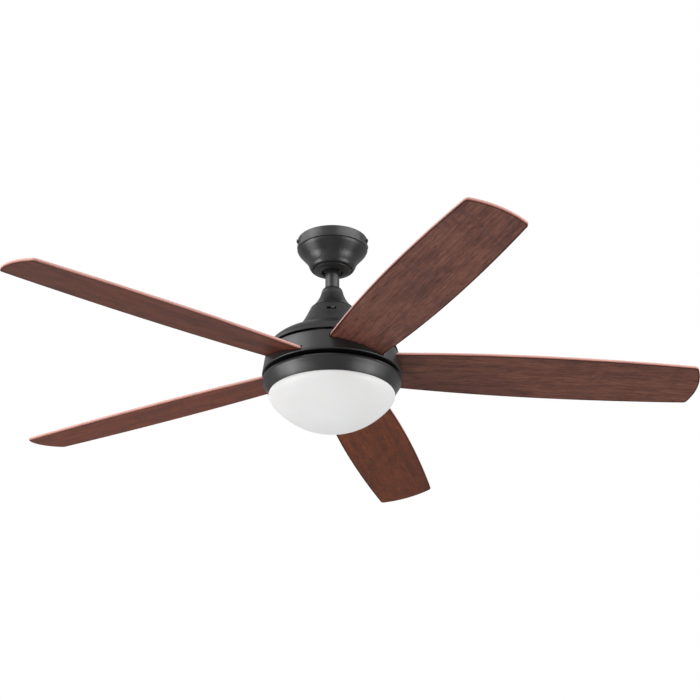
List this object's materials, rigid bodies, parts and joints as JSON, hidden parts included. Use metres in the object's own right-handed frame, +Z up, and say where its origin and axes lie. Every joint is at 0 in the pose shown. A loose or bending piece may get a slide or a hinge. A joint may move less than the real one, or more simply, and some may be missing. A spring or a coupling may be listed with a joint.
{
  "type": "ceiling fan with light",
  "caption": "Ceiling fan hung from a round canopy by a short downrod, with pitched dark wood blades, a domed matte motor housing and an opal glass bowl light.",
  "frame": {"origin": "fan axis on the ceiling plane, at the middle of the hanger bracket's top face and of its two ceiling box slots", "axes": "+Z up, out of the ceiling face; -Y the front, with the reverse switch; +X to the viewer's right, along the line of the two ceiling box slots"},
  "size_m": [1.2443, 1.2633, 0.3715],
  "materials": {
    "charcoal_metal": "matte",
    "walnut_blade": "satin",
    "opal_glass": "satin",
    "zinc_steel": "satin",
    "cast_alloy": "satin",
    "dark_steel": "satin",
    "painted_arm": "matte",
    "copper_winding": "satin",
    "cage_brass": "satin",
    "black_resin": "matte",
    "grey_knob": "matte",
    "white_ceramic": "satin",
    "blue_insulation": "satin",
    "orange_nuts": "matte"
  },
  "bodies": {
    "ceiling_mount": {"hanger_bracket": "zinc_steel", "canopy": "charcoal_metal", "canopy_screws": "charcoal_metal", "remote_receiver": "black_resin"},
    "canopy_cover": {"canopy_cover": "charcoal_metal"},
    "hanging_assembly": {"hanger_ball": "charcoal_metal", "hanger_pin": "zinc_steel", "ball_set_screw": "zinc_steel", "downrod": "charcoal_metal", "motor_yoke": "cast_alloy", "clevis_pin": "zinc_steel", "cotter_pin": "zinc_steel", "yoke_set_screws": "zinc_steel", "upper_housing": "charcoal_metal", "housing_screws": "zinc_steel", "reverse_switch": "black_resin", "motor_shaft": "dark_steel", "stator_core": "dark_steel", "stator_windings": "copper_winding", "bearing_inner_races": "zinc_steel", "light_adapter": "zinc_steel", "shaft_nut": "zinc_steel", "light_pan": "charcoal_metal", "pan_screws": "zinc_steel", "bowl_retainers": "zinc_steel", "socket_bracket": "zinc_steel", "lamp_sockets": "white_ceramic", "bulb_bases": "cast_alloy", "bulb_globes": "opal_glass", "light_plug": "white_ceramic", "socket_leads": "black_resin", "lead_black": "black_resin", "lead_white": "white_ceramic", "lead_blue": "blue_insulation", "wire_nuts": "orange_nuts"},
    "coupling_cover": {"coupling_cover": "charcoal_metal"},
    "reverse_switch_knob": {"reverse_switch_knob": "grey_knob"},
    "rotor": {"motor_upper_cover": "cast_alloy", "motor_lower_cover": "cast_alloy", "rotor_cage": "cast_alloy", "motor_screws": "zinc_steel", "bearing_outer_races": "zinc_steel", "housing_band": "charcoal_metal", "band_screws": "zinc_steel", "blade_1": "walnut_blade", "blade_2": "walnut_blade", "blade_3": "walnut_blade", "blade_4": "walnut_blade", "blade_5": "walnut_blade", "blade_arm_1": "painted_arm", "blade_arm_2": "painted_arm", "blade_arm_3": "painted_arm", "blade_arm_4": "painted_arm", "blade_arm_5": "painted_arm", "arm_screws": "zinc_steel", "blade_screws": "zinc_steel"},
    "bearing_balls": {"bearing_balls": "zinc_steel", "bearing_cages": "cage_brass"},
    "glass_bowl": {"glass_bowl": "opal_glass"}
  },
  "joints": [
    {"name": "hanger_tilt", "type": "hinge", "parent": "ceiling_mount", "child": "hanging_assembly", "pos_m": [0, 0, -0.034], "axis": [1, 0, 0], "range_deg": [-8, 8]},
    {"name": "canopy_cover_twist", "type": "hinge", "parent": "ceiling_mount", "child": "canopy_cover", "pos_m": [0, 0, -0.06], "axis": [0, 0, 1], "range_deg": [-30, 0]},
    {"name": "coupling_cover_lift", "type": "slide", "parent": "hanging_assembly", "child": "coupling_cover", "axis": [0, 0, 1], "range_m": [0, 0.022]},
    {"name": "reverse_knob_slide", "type": "slide", "parent": "hanging_assembly", "child": "reverse_switch_knob", "axis": [1, 0, 0], "range_m": [-0.006, 0]},
    {"name": "fan_spin", "type": "hinge", "parent": "hanging_assembly", "child": "rotor", "pos_m": [0, 0, -0.2337], "axis": [0, 0, 1], "continuous": true},
    {"name": "ball_orbit", "type": "hinge", "parent": "hanging_assembly", "child": "bearing_balls", "pos_m": [0, 0, -0.2337], "axis": [0, 0, 1], "continuous": true},
    {"name": "bowl_twist", "type": "hinge", "parent": "hanging_assembly", "child": "glass_bowl", "pos_m": [0, 0, -0.3], "axis": [0, 0, 1], "range_deg": [-25, 0]}
  ],
  "couplings": [
    {"joint": "ball_orbit", "follows": "fan_spin", "ratio": 0.5915}
  ]
}
